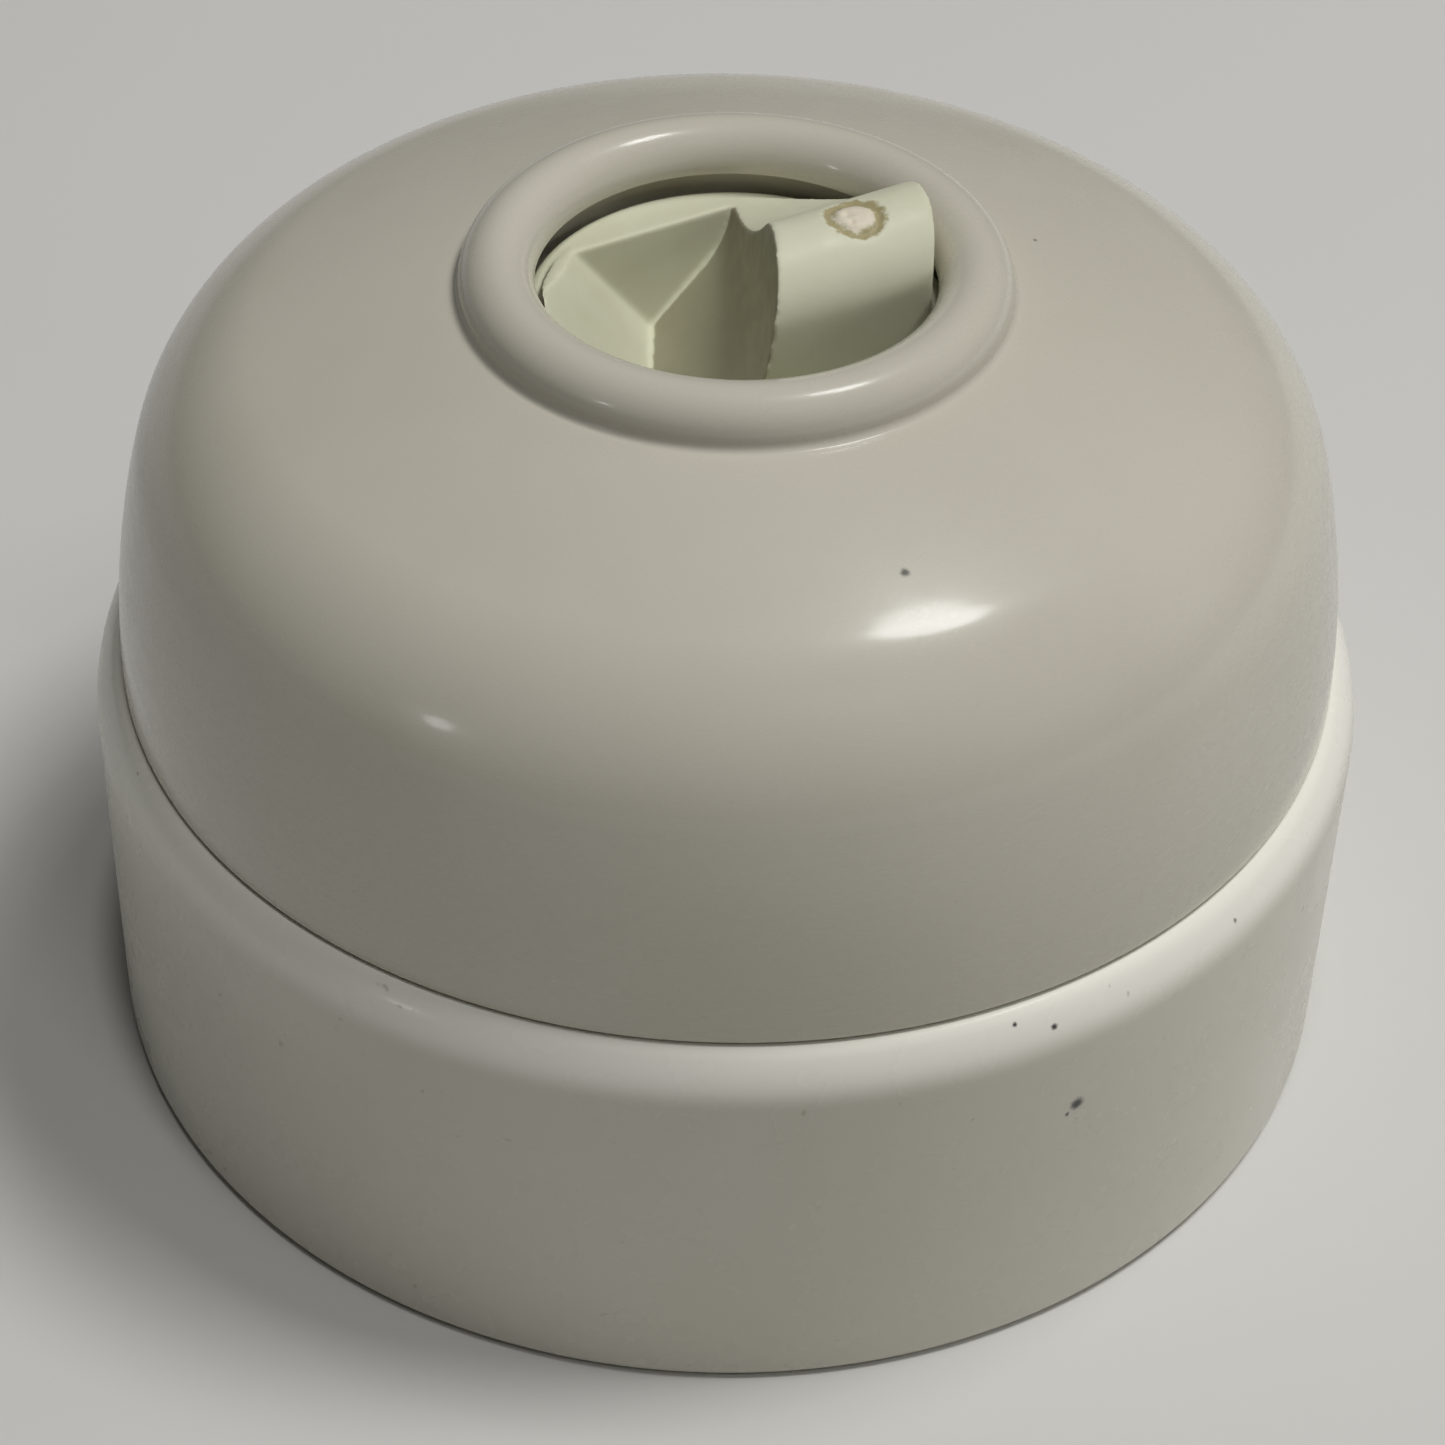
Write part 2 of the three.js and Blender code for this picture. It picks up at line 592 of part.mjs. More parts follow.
// ---------------------------------------------------------------- finishes and assembly
const FINISH = {
  porcelain: { color: 0xcbcabd, roughness: 0.16, metalness: 0 },
  cover: { color: 0xc4c1b4, roughness: 0.2, metalness: 0 },
  knob: { color: 0xd6d7be, roughness: 0.4, metalness: 0 },
  steel: { color: 0x9a9c9e, roughness: 0.35, metalness: 1 },
  springSteel: { color: 0x7d8288, roughness: 0.28, metalness: 1 },
  brass: { color: 0xb8924a, roughness: 0.32, metalness: 1 },
  bronze: { color: 0xa9713f, roughness: 0.35, metalness: 1 },
  phenolic: { color: 0x2e1d16, roughness: 0.45, metalness: 0 },
};

const switchPart = new THREE.Group();

function addPiece(name, solid, finish) {
  const mesh = new THREE.Mesh(toGeometry(solid), new THREE.MeshStandardMaterial(finish));
  mesh.name = name;
  switchPart.add(mesh);
}

addPiece("base", makeBase(), FINISH.porcelain);
addPiece("cover", makeCover(), FINISH.cover);
addPiece("knob", makeKnob(), FINISH.knob);

addPiece("spindle", makeSpindle(), FINISH.steel);
addPiece("spindle_clip", makeSpindleClip(), FINISH.springSteel);
addPiece("index_cam", makeCam(), FINISH.steel);
addPiece("rotor", makeRotor(), FINISH.phenolic);
addPiece("moving_contact", makeWiper(), FINISH.bronze);

addPiece("bridge", makeBridge(), FINISH.steel);
addPiece("bearing_bush", makeBush(), FINISH.brass);

const rivetPiece = makeRivet();
const clipPiece = makeCoverClip();
const bladePiece = makeBlade();
const blockPiece = makeTerminalBlock();
const blockScrewSeat = BLOCK.top + GAP;
const footScrewSeat = DECK_TOP + GAP + SHEET + GAP;

for (const [number, side] of [
  [1, 1],
  [2, -1],
]) {
  const half = side > 0 ? 0 : 2; // quarter turns that carry the first piece to the second's place
  addPiece(`index_spring_${number}`, makeIndexSpring(side), FINISH.springSteel);
  addPiece(`contact_blade_${number}`, quarterTurn(bladePiece, half), FINISH.bronze);
  addPiece(`terminal_block_${number}`, quarterTurn(blockPiece, half), FINISH.brass);
  addPiece(
    `terminal_screw_${number}`,
    makeScrew(SCREW_SMALL, side * WIRE.x, 0, WIRE_SCREW_TIP, blockScrewSeat, 30 * side),
    FINISH.brass,
  );
  addPiece(
    `blade_screw_${number}`,
    makeScrew(SCREW_SMALL, side * BLADE_SCREW_X, 0, SCREW_TIP, blockScrewSeat, 75 * side),
    FINISH.brass,
  );
  addPiece(
    `bridge_screw_${number}`,
    makeScrew(SCREW_LARGE, 0, side * FOOT_SCREW_Y, SCREW_TIP, footScrewSeat, 50 * side),
    FINISH.steel,
  );
  addPiece(`cover_clip_${number}`, quarterTurn(clipPiece, half + 1), FINISH.springSteel);
  addPiece(`clip_rivet_${number}`, rivetPiece.translate([0, side * CLIP.rivetY, 0]), FINISH.steel);
}

export default switchPart;
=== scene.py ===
"""The looks of a surface-mounted rotary light switch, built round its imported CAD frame.

The glazed base, the glossy cover and the moulded knob are rebuilt as smooth meshes.
The mechanism keeps its CAD solids, with softened edges and materials of its own.
Shapes are drawn in millimetres and scaled to metres when they become objects.
"""
import json
import math

import bmesh
import bpy
from mathutils import Matrix, Vector, noise


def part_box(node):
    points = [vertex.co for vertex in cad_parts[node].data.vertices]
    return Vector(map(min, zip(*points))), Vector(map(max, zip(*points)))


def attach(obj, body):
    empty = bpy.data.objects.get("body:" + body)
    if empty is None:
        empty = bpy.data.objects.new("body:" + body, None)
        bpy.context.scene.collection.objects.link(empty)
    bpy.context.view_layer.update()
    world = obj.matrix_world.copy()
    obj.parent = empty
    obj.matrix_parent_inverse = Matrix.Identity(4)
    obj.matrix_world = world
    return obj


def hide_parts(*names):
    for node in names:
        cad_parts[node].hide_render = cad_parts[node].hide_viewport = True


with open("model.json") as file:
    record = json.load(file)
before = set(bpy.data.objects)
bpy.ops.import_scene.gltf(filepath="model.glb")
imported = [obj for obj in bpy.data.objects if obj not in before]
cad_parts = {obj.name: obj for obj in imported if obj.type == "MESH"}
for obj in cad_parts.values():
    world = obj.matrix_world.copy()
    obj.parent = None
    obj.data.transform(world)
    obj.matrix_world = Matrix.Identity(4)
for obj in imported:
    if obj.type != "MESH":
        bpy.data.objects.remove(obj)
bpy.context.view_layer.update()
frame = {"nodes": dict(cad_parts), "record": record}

MM = 0.001

# ---------------------------------------------------------------- dimensions, in millimetres
BASE_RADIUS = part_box("base")[1].x / MM
SHOULDER_RADIUS, SHOULDER_ANGLE = 3.7, math.radians(40)
LEDGE_RADIUS = 1.1
RECESS_RADIUS = 27
DECK_BOTTOM, DECK_TOP = 6, 12
WELL_RADIUS = 25.2
COLLAR_RADIUS = 27.6
COLLAR_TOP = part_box("base")[1].z / MM
SEAT_Z = 21.6

HOLE_REACH = 19  # from the middle to the fixing holes and to the cable holes
FIXING_RADIUS, FIXING_HEAD_RADIUS, FIXING_HEAD_SEAT = 2.3, 4.2, 9.4
CABLE_RADIUS = 3.5
BLADE_SCREW_X, BLADE_SCREW_RADIUS = 16.9, 1.6
FOOT_SCREW_Y, FOOT_SCREW_RADIUS = 18.6, 1.9
PIVOT_RADIUS, PIVOT_BOTTOM = 1.59, 8.1
SKIN = 1  # what is left of the deck under the inner screws' blind holes
PAST = 1  # how far a cutting tool runs past the surface it cuts

COVER_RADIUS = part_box("cover")[1].x / MM
COVER_EDGE_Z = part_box("cover")[0].z / MM
COVER_WALL = 2.6
RIM_DROP = 0.18  # the photograph's seam is thinner than the CAD's running gap
RIM_ROUNDING, RIM_LAND = 0.25, 1
BELLY_RADIUS, BELLY_ANGLE = 43, math.radians(15)
BELLY_START = 0.008  # radians up from the edge, so that the rim's rounding has room
BEND_RADIUS, BEND_ANGLE = 9.4, math.radians(71)
GROOVE_RADIUS, GROOVE_FILLET = 13.4, 0.4
BEAD_CENTRE, BEAD_RADIUS = (11.55, 42.5), 1.85
BEAD_START = 0.15  # radians up from level on the bead's outer side
HOLE_RADIUS, HOLE_BOTTOM = 9.75, 42.2
SLEEVE_INNER, SLEEVE_OUTER, SLEEVE_BOTTOM = 10.8, 12.3, 35.5

KNOB_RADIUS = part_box("knob")[1].x / MM
KNOB_TOP, KNOB_BOTTOM = 41, 34
HUB_RADIUS, HUB_BOTTOM = 6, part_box("knob")[0].z / MM
SOCKET_HALF, SOCKET_TOP = 2.3, 35.3
RIM_RADIUS = 9.5
BAR_ANGLE = math.radians(30.5)
BAR_OFFSET, BAR_RADIUS, BAR_REACH = -2.2, 3.2, 9.4
BAR_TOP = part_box("knob")[1].z / MM
BAR_ROOT = KNOB_BOTTOM + 1
OVERLAP = 0.02  # how far the foot of the bar's flank sinks into the disc
FLANK_RADIUS = 13
NEAR_WELL_FLOOR = 36
NOTCH_FLOOR = 35.2
NOTCH_WALL = {"u": 0, "v": 7.45, "slope": 84, "heading": -90}
NOTCH_RAMP = {"u": -5, "v": 7.3, "slope": 55, "heading": -33}
SCOOP = {"u": 4.13, "v": 7.6, "heading": 157, "steep": 83, "shallow": 42, "radius": 4}
GATE_MARK = {"u": 5, "v": -2.4, "z": BAR_TOP - 0.1, "reach": 1.4 * 1.45}
GATE_RING = {"radius": 1.15, "width": 0.28, "depth": 0.2}
GATE_STUB = {"radius": 0.95, "roughness": 0.16, "dish": 0.05}
GATE_CEILING = BAR_TOP - 0.02

ROUND_STEPS = 192  # sides of the base and the cover
KNOB_SIDES = 128
KNOB_VOXEL = 0.13
KNOB_SMOOTHING = 9
SHARP_OVER = math.radians(40)  # a fold sharper than this stays an edge
EDGE_BREAK = 0.12

# ---------------------------------------------------------------- camera and lamps
CAMERA_ELEVATION, CAMERA_ROLL = math.radians(40.748), math.radians(-1.486)
CAMERA_TARGET, CAMERA_DISTANCE = (-0.129, 0, 14.32), 197.53
CAMERA_LENS, CAMERA_SENSOR = 92.93, 36
LAMP_DISTANCE, LAMP_AIM_Z = 0.9, 0.02  # metres


# ---------------------------------------------------------------- mesh helpers
def add_object(name, data):
    """Puts a mesh, a lamp or a camera into the scene."""
    piece = bpy.data.objects.new(name, data)
    bpy.context.scene.collection.objects.link(piece)
    return piece


def object_from(name, mesh):
    """Turns a bmesh into an object and frees it."""
    data = bpy.data.meshes.new(name)
    bmesh.ops.recalc_face_normals(mesh, faces=mesh.faces)
    mesh.to_mesh(data)
    mesh.free()
    return add_object(name, data)


def settle(piece):
    """Writes the piece's modifiers into its mesh."""
    graph = bpy.context.evaluated_depsgraph_get()
    finished = bpy.data.meshes.new_from_object(piece.evaluated_get(graph))
    piece.modifiers.clear()
    piece.data = finished


def combine(piece, tool, operation):
    """Cuts, joins or trims a piece with a tool, and uses the tool up."""
    modifier = piece.modifiers.new("combine", "BOOLEAN")
    modifier.operation = operation
    modifier.solver = "MANIFOLD"
    modifier.object = tool
    settle(piece)
    bpy.data.objects.remove(tool)
    return piece


def to_metres(piece):
    """Scales a piece drawn in millimetres to the scene's metres."""
    piece.data.transform(Matrix.Scale(MM, 4))
    return piece


def smooth_faces(piece):
    """Shades a piece smooth, but for its sharp edges."""
    piece.data.shade_smooth()
    piece.data.set_sharp_from_angle(angle=SHARP_OVER)


def arc(centre, radius, start, end, steps):
    """Points on an arc, both ends included."""
    points = []
    for step in range(steps + 1):
        angle = start + (end - start) * step / steps
        points.append((centre[0] + radius * math.cos(angle), centre[1] + radius * math.sin(angle)))
    return points


def rounded(corners, steps=5):
    """A line of (r, z, radius) corners, with each corner turned into an arc of its radius."""
    points = []
    for index, (r, z, radius) in enumerate(corners):
        here = Vector((r, z))
        if radius == 0 or index in (0, len(corners) - 1):
            points.append((r, z))
            continue
        before = (Vector(corners[index - 1][:2]) - here).normalized()
        after = (Vector(corners[index + 1][:2]) - here).normalized()
        half = before.angle(after) / 2
        middle = here + (before + after).normalized() * (radius / math.sin(half))
        start = here + before * (radius / math.tan(half)) - middle
        end = here + after * (radius / math.tan(half)) - middle
        for step in range(steps + 1):
            spoke = start.slerp(end, step / steps)
            points.append(tuple(middle + spoke.normalized() * radius))
    return points


def revolve(name, profile, sides, closed=True):
    """Turns a line of (r, z) points about Z. A closed profile joins its last point to its first."""
    mesh = bmesh.new()
    verts = [mesh.verts.new((r, 0, z)) for r, z in profile]
    edges = [mesh.edges.new(pair) for pair in zip(verts, verts[1:])]
    if closed:
        edges.append(mesh.edges.new((verts[-1], verts[0])))
    bmesh.ops.spin(
        mesh,
        geom=verts + edges,
        cent=(0, 0, 0),
        axis=(0, 0, 1),
        angle=2 * math.pi,
        steps=sides,
        use_merge=True,
    )
    bmesh.ops.remove_doubles(mesh, verts=mesh.verts, dist=1e-4)
    return object_from(name, mesh)


def disc_tool(radius, bottom, top, x=0.0, y=0.0, sides=64):
    """An upright cylinder."""
    tool = revolve("tool", [(0, bottom), (radius, bottom), (radius, top), (0, top)], sides, closed=False)
    tool.data.transform(Matrix.Translation((x, y, 0)))
    return tool


def box_tool(low, high):
    """A box between two corners."""
    mesh = bmesh.new()
    bmesh.ops.create_cube(mesh, size=1)
    size = [b - a for a, b in zip(low, high)]
    middle = [(a + b) / 2 for a, b in zip(low, high)]
    bmesh.ops.scale(mesh, vec=size, verts=mesh.verts)
    bmesh.ops.translate(mesh, vec=middle, verts=mesh.verts)
    return object_from("tool", mesh)


def level_prism(outline, length, heading, centre=(0, 0)):
    """Carries an outline of (across, z) points along a level line. Across points along the heading."""
    mesh = bmesh.new()
    near = [mesh.verts.new((across, -length / 2, z)) for across, z in outline]
    far = [mesh.verts.new((across, length / 2, z)) for across, z in outline]
    mesh.faces.new(near)
    mesh.faces.new(far)
    for index in range(len(outline)):
        following = (index + 1) % len(outline)
        mesh.faces.new((near[index], near[following], far[following], far[index]))
    prism = object_from("tool", mesh)
    prism.data.transform(Matrix.Translation((*centre, 0)) @ Matrix.Rotation(heading, 4, "Z"))
    return prism


# ---------------------------------------------------------------- housing
def build_base():
    """A turned ring on a deck. Its shoulder tightens into the ledge that the cover's edge stands over."""
    shoulder_r = BASE_RADIUS - SHOULDER_RADIUS
    ledge_z = SEAT_Z - LEDGE_RADIUS
    tighter = SHOULDER_RADIUS - LEDGE_RADIUS
    shoulder = (shoulder_r, ledge_z - tighter * math.sin(SHOULDER_ANGLE))
    ledge = (shoulder_r + tighter * math.cos(SHOULDER_ANGLE), ledge_z)
    foot = rounded(
        [
            (0, DECK_BOTTOM, 0),
            (RECESS_RADIUS, DECK_BOTTOM, 0.8),
            (RECESS_RADIUS, 0, 0.5),
            (BASE_RADIUS, 0, 0.7),
            (BASE_RADIUS, shoulder[1] - 1, 0),
        ]
    )
    inside = rounded(
        [
            (ledge[0] - 0.1, SEAT_Z, 0),
            (COLLAR_RADIUS, SEAT_Z, 0.3),
            (COLLAR_RADIUS, COLLAR_TOP, 0.6),
            (WELL_RADIUS, COLLAR_TOP, 0.6),
            (WELL_RADIUS, DECK_TOP, 1.2),
            (0, DECK_TOP, 0),
        ]
    )
    outside = arc(shoulder, SHOULDER_RADIUS, 0, SHOULDER_ANGLE, 14)
    outside += arc(ledge, LEDGE_RADIUS, SHOULDER_ANGLE, math.pi / 2, 10)[1:]
    profile = foot + outside + inside
    base = revolve("base_glazed", profile, ROUND_STEPS, closed=False)
    for hole in base_holes():
        combine(base, hole, "DIFFERENCE")
    return to_metres(base)


def base_holes():
    """The pivot's hole, and on each side a stepped fixing hole, a cable hole and two screw holes."""
    above = DECK_TOP + PAST
    through = (DECK_BOTTOM - PAST, above)
    blind = (DECK_BOTTOM + SKIN, above)
    yield disc_tool(PIVOT_RADIUS, PIVOT_BOTTOM, above)
    for side in (-1, 1):
        diagonal = side * HOLE_REACH * math.sqrt(0.5)
        yield disc_tool(FIXING_RADIUS, *through, diagonal, diagonal)
        yield disc_tool(FIXING_HEAD_RADIUS, FIXING_HEAD_SEAT, above, diagonal, diagonal)
        yield disc_tool(CABLE_RADIUS, *through, -diagonal, diagonal)
        yield disc_tool(BLADE_SCREW_RADIUS, *blind, side * BLADE_SCREW_X, 0)
        yield disc_tool(FOOT_SCREW_RADIUS, *blind, 0, side * FOOT_SCREW_Y)


def cover_curve(inset):
    """Belly, bend and dome, each an arc tangent to the next, from the lower edge to the groove."""
    belly = (COVER_RADIUS - BELLY_RADIUS, COVER_EDGE_Z)
    to_bend = BELLY_RADIUS - BEND_RADIUS
    bend = (belly[0] + to_bend * math.cos(BELLY_ANGLE), belly[1] + to_bend * math.sin(BELLY_ANGLE))
    dome_radius = BEND_RADIUS + bend[0] / math.cos(BEND_ANGLE)
    dome = (0, bend[1] - (dome_radius - BEND_RADIUS) * math.sin(BEND_ANGLE))
    dome_end = math.acos((GROOVE_RADIUS + GROOVE_FILLET) / (dome_radius - inset))
    return (
        arc(belly, BELLY_RADIUS - inset, BELLY_START, BELLY_ANGLE, 10)
        + arc(bend, BEND_RADIUS - inset, BELLY_ANGLE, BEND_ANGLE, 24)[1:]
        + arc(dome, dome_radius - inset, BEND_ANGLE, dome_end, 12)[1:]
    )


def build_cover():
    """A turned shell: its edge, outside, groove, bead, the sleeve below the hole, and its inside."""
    outside = cover_curve(0)
    inside = cover_curve(COVER_WALL)[::-1]
    groove_z = outside[-1][1]
    fillet_centre = (GROOVE_RADIUS + GROOVE_FILLET, groove_z + GROOVE_FILLET)
    groove = arc(fillet_centre, GROOVE_FILLET, 1.5 * math.pi, math.pi, 6)
    bead = arc(BEAD_CENTRE, BEAD_RADIUS, BEAD_START, math.pi, 28)
    rim_z = COVER_EDGE_Z - RIM_DROP
    rim_centre = (COVER_RADIUS - RIM_ROUNDING, rim_z + RIM_ROUNDING)
    rim = arc(rim_centre, RIM_ROUNDING, -math.pi / 2, -0.2, 5)
    lower_edge = [(COVER_RADIUS - RIM_LAND, rim_z), *rim]
    profile = (
        lower_edge
        + outside
        + groove
        + bead
        + [
            (HOLE_RADIUS, HOLE_BOTTOM),
            (SLEEVE_INNER, HOLE_BOTTOM),
            (SLEEVE_INNER, SLEEVE_BOTTOM),
            (SLEEVE_OUTER, SLEEVE_BOTTOM),
            (SLEEVE_OUTER, inside[0][1]),
        ]
        + inside
    )
    return to_metres(revolve("cover_glossy", profile, ROUND_STEPS))


# ---------------------------------------------------------------- knob, with U along the bar and V across it
def finger_bar():
    """A half-round bar with one straight side and one hollow flank, trimmed to the knob's round."""
    spring_line = BAR_TOP - BAR_RADIUS
    foot = KNOB_TOP - OVERLAP
    rise = foot + FLANK_RADIUS - spring_line
    flank_v = math.sqrt((BAR_RADIUS + FLANK_RADIUS) ** 2 - rise**2)
    meeting = math.atan2(rise, flank_v)
    section = (
        [(-BAR_RADIUS, BAR_ROOT)]
        + arc((0, spring_line), BAR_RADIUS, math.pi, meeting, 40)
        + arc((flank_v, foot + FLANK_RADIUS), FLANK_RADIUS, math.pi + meeting, 1.5 * math.pi, 30)[1:]
        + [(flank_v, BAR_ROOT)]
    )
    bar = level_prism(section, 4 * KNOB_RADIUS, math.pi / 2, (0, BAR_OFFSET))
    return combine(bar, disc_tool(BAR_REACH, BAR_ROOT, BAR_TOP + PAST, sides=KNOB_SIDES), "INTERSECT")


def above_face(u, v, slope, heading):
    """All of space above a face that falls along its heading, in degrees."""
    reach = 4 * KNOB_RADIUS
    tool = box_tool((-reach, -reach, 0), (reach, reach, reach))
    turn = Matrix.Rotation(math.radians(heading), 4, "Z") @ Matrix.Rotation(math.radians(slope), 4, "Y")
    tool.data.transform(Matrix.Translation((u, v, KNOB_TOP)) @ turn)
    return tool


def beyond_scoop():
    """All of space beyond the bar's scooped end, steep at the top and curving out towards the floor."""
    steep, shallow = math.radians(SCOOP["steep"]), math.radians(SCOOP["shallow"])
    radius = SCOOP["radius"]
    centre = (radius * math.sin(steep), KNOB_TOP + radius * math.cos(steep))
    curve = arc(centre, radius, 1.5 * math.pi - steep, 1.5 * math.pi - shallow, 24)
    reach = 4 * KNOB_RADIUS
    low = (curve[-1][0] + reach * math.cos(shallow), curve[-1][1] - reach * math.sin(shallow))
    outline = [(-reach / math.tan(steep), KNOB_TOP + reach), *curve, low, (low[0], KNOB_TOP + reach)]
    return level_prism(outline, reach, math.radians(SCOOP["heading"]), (SCOOP["u"], SCOOP["v"]))


def thumb_notch():
    """The deep pocket beside the bar, between a wall, a ramp and the bar's scooped end."""
    notch = disc_tool(RIM_RADIUS, NOTCH_FLOOR, BAR_TOP + PAST, sides=KNOB_SIDES)
    for part in (above_face(**NOTCH_WALL), above_face(**NOTCH_RAMP), beyond_scoop()):
        combine(notch, part, "INTERSECT")
    return notch


def near_well():
    """The space along the bar's near side."""
    well = disc_tool(RIM_RADIUS, NEAR_WELL_FLOOR, BAR_TOP + PAST, sides=KNOB_SIDES)
    side = BAR_OFFSET - BAR_RADIUS
    beside = box_tool((-KNOB_RADIUS, -KNOB_RADIUS, 0), (KNOB_RADIUS, side, 2 * BAR_TOP))
    return combine(well, beside, "INTERSECT")


def build_knob():
    """A turned disc and hub, with the bar added and the pockets and the spindle's socket cut."""
    profile = rounded(
        [
            (0, HUB_BOTTOM, 0),
            (HUB_RADIUS, HUB_BOTTOM, 0.4),
            (HUB_RADIUS, KNOB_BOTTOM, 0.4),
            (KNOB_RADIUS, KNOB_BOTTOM, 0.4),
            (KNOB_RADIUS, KNOB_TOP, 0.5),
            (0, KNOB_TOP, 0),
        ]
    )
    knob = revolve("knob_moulded", profile, KNOB_SIDES, closed=False)
    combine(knob, finger_bar(), "UNION")
    combine(knob, near_well(), "DIFFERENCE")
    combine(knob, thumb_notch(), "DIFFERENCE")
    knob.data.transform(Matrix.Rotation(BAR_ANGLE, 4, "Z"))
    half = SOCKET_HALF
    socket = box_tool((-half, -half, HUB_BOTTOM - PAST), (half, half, SOCKET_TOP))
    combine(knob, socket, "DIFFERENCE")
    soften_mould(knob)
    press_gate_mark(knob)
    return to_metres(knob)


def soften_mould(knob):
    """Rounds every edge a little, by remeshing evenly and smoothing."""
    remesh = knob.modifiers.new("even_mesh", "REMESH")
    remesh.mode = "VOXEL"
    remesh.voxel_size = KNOB_VOXEL
    smoothing = knob.modifiers.new("soft_edges", "SMOOTH")
    smoothing.factor = 0.5
    smoothing.iterations = KNOB_SMOOTHING
    settle(knob)


def scoop_heading():
    """The way the bar's scooped end faces. Faces turned that way get painted shade, a darker tone that
    stands in for the shade in the notch.
    """
    heading = BAR_ANGLE + math.radians(SCOOP["heading"])
    return Vector((math.cos(heading), math.sin(heading), 0))


def gate_centre():
    """Where the gate mark lies, in millimetres."""
    place = Vector((GATE_MARK["u"], GATE_MARK["v"], GATE_MARK["z"]))
    return Matrix.Rotation(BAR_ANGLE, 3, "Z") @ place


def press_gate_mark(knob):
    """A scar on the bar's top: a shallow ring with a rough stub inside it."""
    centre = gate_centre()
    for vertex in knob.data.vertices:
        offset = vertex.co - centre
        distance = Vector(offset[:2]).length
        if distance > GATE_MARK["reach"] or abs(offset.z) > 1.2:
            continue
        ring = math.exp(-(((distance - GATE_RING["radius"]) / GATE_RING["width"]) ** 2))
        stub = max(0, 1 - distance / GATE_STUB["radius"])
        grain = noise.noise(vertex.co * 2.6) + 0.5 * noise.noise(vertex.co * 6)
        sunk = -GATE_RING["depth"] * ring * (1 + 0.4 * grain)
        rough = GATE_STUB["roughness"] * min(1, 2 * stub) * grain
        vertex.co.z += sunk + rough - GATE_STUB["dish"] * stub
        vertex.co.z = min(vertex.co.z, GATE_CEILING)


# ---------------------------------------------------------------- materials
class Look:
    """One material's node tree, with a short call for each node the looks use. Sizes are in metres."""

    def __init__(self, name, **surface):
        self.material = bpy.data.materials.new(name)
        self.material.use_nodes = True
        self.tree = self.material.node_tree
        self.shader = self.tree.nodes["Principled BSDF"]
        self.place = self.node("ShaderNodeTexCoord").outputs["Object"]
        for socket, value in surface.items():
            self.shader.inputs[socket.replace("_", " ")].default_value = value

    def node(self, kind, **settings):
        made = self.tree.nodes.new(kind)
        for name, value in settings.items():
            setattr(made, name, value)
        return made

    def link(self, source, target):
        """Joins a socket, or sets a plain number or colour."""
        if isinstance(source, bpy.types.NodeSocket):
            self.tree.links.new(source, target)
        else:
            target.default_value = source

    def paint(self, socket, source):
        """Feeds one of the shader's sockets."""
        self.link(source, self.shader.inputs[socket])

    def stretched(self, x, y, z):
        """The surface's place, scaled along each axis."""
        mapping = self.node("ShaderNodeMapping")
        self.link(self.place, mapping.inputs["Vector"])
        mapping.inputs["Scale"].default_value = (x, y, z)
        return mapping.outputs["Vector"]

    def noise(self, size, detail=2.0, roughness=0.5, place=None):
        made = self.node("ShaderNodeTexNoise")
        self.link(place or self.place, made.inputs["Vector"])
        made.inputs["Scale"].default_value = 1 / size
        made.inputs["Detail"].default_value = detail
        made.inputs["Roughness"].default_value = roughness
        return made.outputs["Fac"]

    def math(self, operation, a, b=0.0, clamp=False):
        made = self.node("ShaderNodeMath", operation=operation, use_clamp=clamp)
        self.link(a, made.inputs[0])
        self.link(b, made.inputs[1])
        return made.outputs[0]

    def spread(self, source, low, high, out_low=0.0, out_high=1.0):
        """Carries the range low to high onto another, smoothly, and stops at its ends."""
        made = self.node("ShaderNodeMapRange", interpolation_type="SMOOTHSTEP")
        for socket, value in zip(made.inputs, (source, low, high, out_low, out_high)):
            self.link(value, socket)
        return made.outputs["Result"]

    def mix(self, share, first, second):
        made = self.node("ShaderNodeMix", data_type="RGBA")
        self.link(share, made.inputs["Factor"])
        self.link(first, made.inputs[6])
        self.link(second, made.inputs[7])
        return made.outputs[2]

    def distance(self, point):
        made = self.node("ShaderNodeVectorMath", operation="DISTANCE")
        self.link(self.place, made.inputs[0])
        made.inputs[1].default_value = point
        return made.outputs["Value"]

    def facing(self, direction):
        """How squarely the surface faces a direction, from -1 to 1."""
        made = self.node("ShaderNodeVectorMath", operation="DOT_PRODUCT")
        self.link(self.node("ShaderNodeTexCoord").outputs["Normal"], made.inputs[0])
        made.inputs[1].default_value = direction
        return made.outputs["Value"]

    def height(self):
        """How far up the surface lies."""
        made = self.node("ShaderNodeSeparateXYZ")
        self.link(self.place, made.inputs[0])
        return made.outputs["Z"]

    def bump(self, height, depth, onto=None):
        """Shades the surface as if it were raised by depth where height is 1."""
        made = self.node("ShaderNodeBump")
        made.inputs["Strength"].default_value = 1
        made.inputs["Distance"].default_value = depth
        self.link(height, made.inputs["Height"])
        if onto is not None:
            self.link(onto, made.inputs["Normal"])
        return made.outputs["Normal"]

    def specks(self, marks):
        """1 inside any of the (point, radius) marks, with ragged edges, and 0 outside them."""
        ragged = self.math("MULTIPLY", self.noise(0.0003), 0.00025)
        total = 0.0
        for point, radius in marks:
            reach = self.math("ADD", self.distance(point), ragged)
            total = self.math("ADD", total, self.spread(reach, radius * 1.5, radius * 0.6), clamp=True)
        return total


def colour(red, green, blue):
    """A screen colour, 0 to 255, as the linear colour that shaders take."""
    def linear(value):
        value /= 255
        return value / 12.92 if value <= 0.04045 else ((value + 0.055) / 1.055) ** 2.4

    return (linear(red), linear(green), linear(blue), 1)


